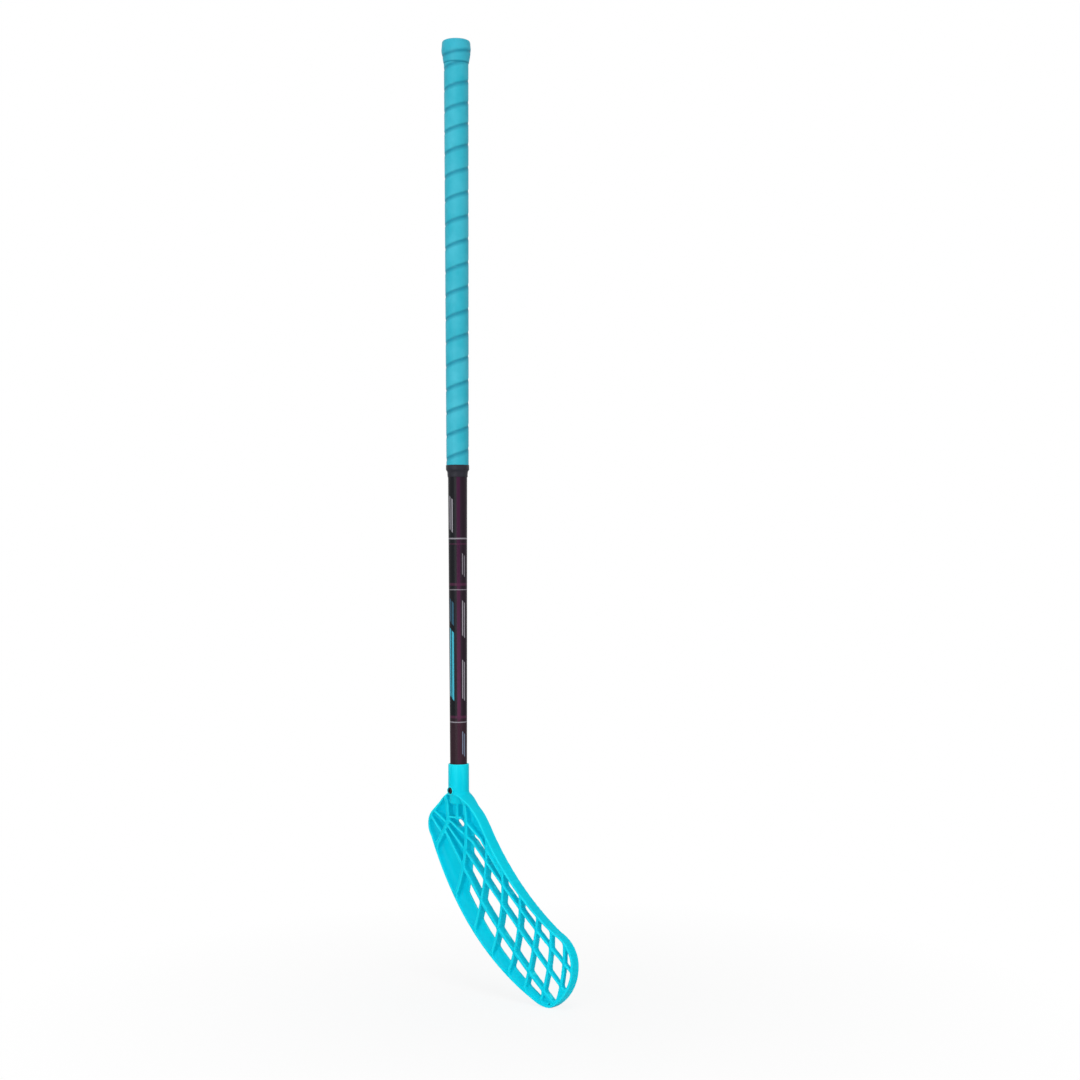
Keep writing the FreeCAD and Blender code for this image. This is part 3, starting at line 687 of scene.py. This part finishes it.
floor = floor - np.minimum(scoop, floor - front - least_scoop_floor)
socket_taper = np.interp(plan_drop, taper_drops, taper_radii)
socket_fillet = np.interp(plan_drop, (neck_drop, 37), (2.6, 0.8))
screw_distance = np.abs(plan - screw_drop * 1j)
slot_distance = distance_to(np.array(heel_slot)) - slot_half


def moulding(depth):
    """Distance field of the blade in the layer at one depth behind the stick's axis."""
    lattice = crossed(lattice_plan + fin_draft * (fin_back - depth), front - swell - depth, fin_rounding)
    slab = crossed(closed_plan, floor - depth, back_rounding)
    body = crossed(joined(lattice, slab, floor_fillet), depth - fin_back - swell, back_rounding)
    wall_ends = np.maximum(front - swell - depth, depth - back - swell)
    wall = crossed(wall_plan - wall_draft * (depth - front), wall_ends, lip_rounding)
    body = np.minimum(body, np.maximum(wall, edge_distance))
    around_axis = np.hypot(plan_x, depth)
    cone_radius = socket_radius + shoulder_gap + shoulder_slope * (plan_drop - neck_drop)
    body = cut_by(body, (cone_radius - around_axis) / shoulder_run, shoulder_blend)
    socket = crossed(around_axis - socket_taper, -plan_drop, mouth_rounding)
    socket = crossed(socket, plan_drop - socket_end, socket_end_rounding)
    body = joined(body, socket, socket_fillet)
    if depth < 0:
        boss = crossed(screw_distance - boss_radius, -boss_face - depth, seat_rounding)
        body = joined(body, boss, boss_fillet)
        body = cut_by(body, np.maximum(screw_distance - seat_radius, depth + seat_level), seat_rounding)
        body = np.maximum(body, screw_hole_radius / mm - screw_distance)
    body = np.maximum(body, -np.maximum(around_axis - bore_radius, plan_drop - socket_floor))
    return cut_by(body, slot_distance, slot_rounding)


field = np.stack([moulding(depth) for depth in depths], 1).astype(np.float32)
field_reach, most_triangles = 3.0, 190000
cells = openvdb.FloatGrid(field_reach)
cells.copyFromArray(np.clip(field, -field_reach, field_reach))
surface, quads = cells.convertToQuads(0.0)
blade_points = surface * grain_size + np.array((xs[0], depths[0], drops[0]))
blade_points = blade_points * mm * (1, 1, -1) + np.array((0, 0, mouth))
blade_mesh = bpy.data.meshes.new("blade")
blade_mesh.from_pydata(blade_points.tolist(), [], quads.tolist())
blade = placed("blade_moulding", blade_mesh, crease=70)
thinned = blade.modifiers.new("thinned", "DECIMATE")
thinned.ratio = min(1.0, most_triangles / (2 * len(quads)))
bpy.context.view_layer.update()
blade.data = bpy.data.meshes.new_from_object(blade.evaluated_get(bpy.context.evaluated_depsgraph_get()))
blade.modifiers.clear()
blade.data.shade_smooth()

polyethylene, paint = new_finish("moulded_polyethylene")
clear_blue = (0.0, 0.600, 0.765)
milky_blue = (0.001, 0.655, 0.810)
lip_highlight_blue = (0.03, 0.88, 1.0)
flow = paint.noise(30.0, 3.0, paint.place().stretched((1.0, 1.0, 0.5)))
orange_peel = paint.noise(1500.0, 2.0)
scuffs = paint.noise(240.0, 4.0)
edges = paint.add("ShaderNodeNewGeometry", {}, {}, "Pointiness")
body_colour = paint.mixed(flow.over(0.5, 0.5), clear_blue, milky_blue)
dressed(
    blade, polyethylene, "stick", "blade",
    # Convex edges and lips are lightened by their pointiness towards a paler blue: a painted highlight.
    Base_Color=paint.mixed(edges.over(0.54, 0.06) * 0.9, body_colour, lip_highlight_blue),
    Roughness=scuffs * 0.16 + 0.30,
    Specular_IOR_Level=0.05,
    Subsurface_Weight=0.25,
    Subsurface_Radius=(0.1, 1.0, 1.0),
    Subsurface_Scale=3 * mm,
    Normal=orange_peel.bumps(0.03 * mm, 0.35),
)
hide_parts("blade")

# Blade screw: a rolled, blackened steel screw with a hexagon recess in its domed head and a coarse thread.
# It goes through the socket's boss into the shaft's wall and holds the blade on.
head_height = screw_head_height * mm
head_wide, head_top = 3.5 * mm, 2.6 * mm
recess_reach, recess_depth = 1.6 * mm, 1.3 * mm
thread_reach, root_reach, thread_pitch = 1.8 * mm, 1.4 * mm, 1.2 * mm
seat = screw_foot.y + head_height
shank_length = screw_head.y - seat
screw_sides, thread_rows = 48, 64
screw_bearings = np.arange(screw_sides) * 2 * math.pi / screw_sides
hexagon = math.cos(math.pi / 6) / np.cos((screw_bearings % (math.pi / 3)) - math.pi / 6)
round_rows = np.ones_like(screw_bearings)
screw_rows = [(0.12 * mm * round_rows, -shank_length), (0.5 * mm * round_rows, -shank_length + 0.3 * mm)]
for level in np.linspace(-shank_length + 0.6 * mm, -0.5 * mm, thread_rows):
    ramp = (level / thread_pitch - screw_bearings / (2 * math.pi)) % 1.0
    crest = np.clip(1.6 - np.abs(ramp - 0.5) * 4, 0, 1)
    taper = min(1.0, 0.4 + 0.6 * (level + shank_length) / (2.4 * mm))
    screw_rows.append(((root_reach + (thread_reach - root_reach) * crest) * taper, level))
screw_rows += [
    (root_reach * round_rows, 0.0), (3.3 * mm * round_rows, 0.0), (head_wide * round_rows, 0.2 * mm),
    (head_wide * round_rows, 1.2 * mm), (3.42 * mm * round_rows, 1.5 * mm),
    (3.15 * mm * round_rows, 1.9 * mm),
    (head_top * round_rows, head_height - 0.04 * mm), (2.3 * mm * round_rows, head_height),
    (recess_reach * 1.06 * hexagon, head_height), (recess_reach * hexagon, head_height - 0.1 * mm),
    (recess_reach * hexagon, head_height - recess_depth),
    (0.2 * mm * round_rows, head_height - recess_depth - 0.3 * mm),
]
reaches = np.array([reach for reach, level in screw_rows])
levels = np.array([level for reach, level in screw_rows])[:, None]
screw_points = np.stack([
    reaches * np.cos(screw_bearings),
    seat - levels + 0 * reaches,
    screw_height + reaches * np.sin(screw_bearings),
], -1)
screw = placed("screw", skin("screw", screw_points, close_rows=False, capped=True), crease=30)
blackened, paint = new_finish("blackened_steel")
steel_black, steel_grey = (0.005, 0.006, 0.012), (0.024, 0.026, 0.040)
oxide = paint.noise(1800.0)
dressed(
    screw, blackened, "screw", "screw",
    Base_Color=paint.mixed(oxide, steel_black, steel_grey),
    Roughness=oxide * 0.25 + 0.32,
    Metallic=0.5,
    Normal=oxide.bumps(0.02 * mm, 0.4),
)
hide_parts("blade_screw")

# Stage: a pale floor under the blade's foot, a white surround, soft lamps and the camera.
# The camera stands level at the height of the stick's middle and sees the blade's front from the toe side.
scene = bpy.context.scene
scene.view_settings.view_transform = "Standard"
to_right = Vector((math.sqrt(0.5), math.sqrt(0.5), 0))
to_camera = Vector((math.sqrt(0.5), -math.sqrt(0.5), 0))
upright = Vector((0, 0, 1))
camera_data = bpy.data.cameras.new("camera")
camera_data.sensor_width = 36.0
camera_data.lens = 60.0
camera = bpy.data.objects.new("camera", camera_data)
scene.collection.objects.link(camera)
roll = math.radians(0.2)
camera_right = to_right * math.cos(roll) - upright * math.sin(roll)
camera_up = upright * math.cos(roll) + to_right * math.sin(roll)
camera.matrix_world = Matrix((camera_right, camera_up, to_camera)).transposed().to_4x4()
camera_distance, camera_shift, camera_height = 2.070, 0.0945, -0.332
camera.location = to_camera * camera_distance + to_right * camera_shift + upright * camera_height
scene.camera = camera


def lamp(name, place, target, size, power):
    data = bpy.data.lights.new(name, "AREA")
    data.shape = "RECTANGLE"
    data.size, data.size_y = size
    data.energy = power
    piece = bpy.data.objects.new(name, data)
    scene.collection.objects.link(piece)
    piece.location = place
    piece.visible_camera = False
    piece.rotation_euler = (target - place).to_track_quat("-Z", "Y").to_euler()


middle, blade_middle = upright * -0.32, upright * -0.72
lamp("key", to_camera * 2.1 - to_right * 1.0 + upright * -0.3, middle, (1.2, 1.8), 27)
lamp("fill", to_camera * 1.1 + to_right * 1.1 + upright * -0.75, blade_middle, (0.6, 0.9), 3.5)
lamp("top", to_camera * 1.3 + to_right * 0.3 + upright * 2.4, blade_middle, (1.2, 1.2), 27)

floor_level = blade_foot.z - 0.5 * mm
floor_half = 6.0
floor_mesh = bpy.data.meshes.new("studio_floor")
floor_corners = [
    (x * floor_half, y * floor_half, floor_level) for x, y in ((-1, -1), (1, -1), (1, 1), (-1, 1))
]
floor_mesh.from_pydata(floor_corners, [], [(0, 1, 2, 3)])
studio_floor = placed("studio_floor", floor_mesh)
paper, paint = new_finish("white_paper")
paper_shader = paper.node_tree.nodes["Principled BSDF"]
paper_shader.inputs["Base Color"].default_value = (0.9, 0.9, 0.9, 1)
paper_shader.inputs["Roughness"].default_value = 0.9
glow = paint.add("ShaderNodeEmission", {}, {"Strength": 1.0})
seen_directly = paint.add("ShaderNodeLightPath", {}, {}, "Is Camera Ray")
ends = {0: paint.place(), 1: (0.13, 0, floor_level)}
from_blade = paint.add("ShaderNodeVectorMath", {"operation": "DISTANCE"}, ends, "Value")
whiteness = from_blade.over(0.35, 0.5) * 0.15 + 0.85
sheet = paint.add("ShaderNodeMixShader", {}, {0: whiteness * seen_directly, 2: glow})
paper.node_tree.links.new(paper_shader.outputs[0], sheet.socket.node.inputs[1])
paper.node_tree.links.new(sheet.socket, paper.node_tree.nodes["Material Output"].inputs["Surface"])
studio_floor.data.materials.append(paper)

world = bpy.data.worlds.new("white_surround")
world.use_nodes = True
scene.world = world
air = Shade(world.node_tree)
ray_kinds = ("Is Camera Ray", "Is Glossy Ray", "Is Transmission Ray")
rays = [air.add("ShaderNodeLightPath", {}, {}, kind) for kind in ray_kinds]
seen = air.maths("MAXIMUM", air.maths("MAXIMUM", rays[0], rays[1]), rays[2])
surround = world.node_tree.nodes["Background"]
surround.inputs["Color"].default_value = (1, 1, 1, 1)
room_light = 0.45
world.node_tree.links.new((seen * (1 - room_light) + room_light).socket, surround.inputs["Strength"])
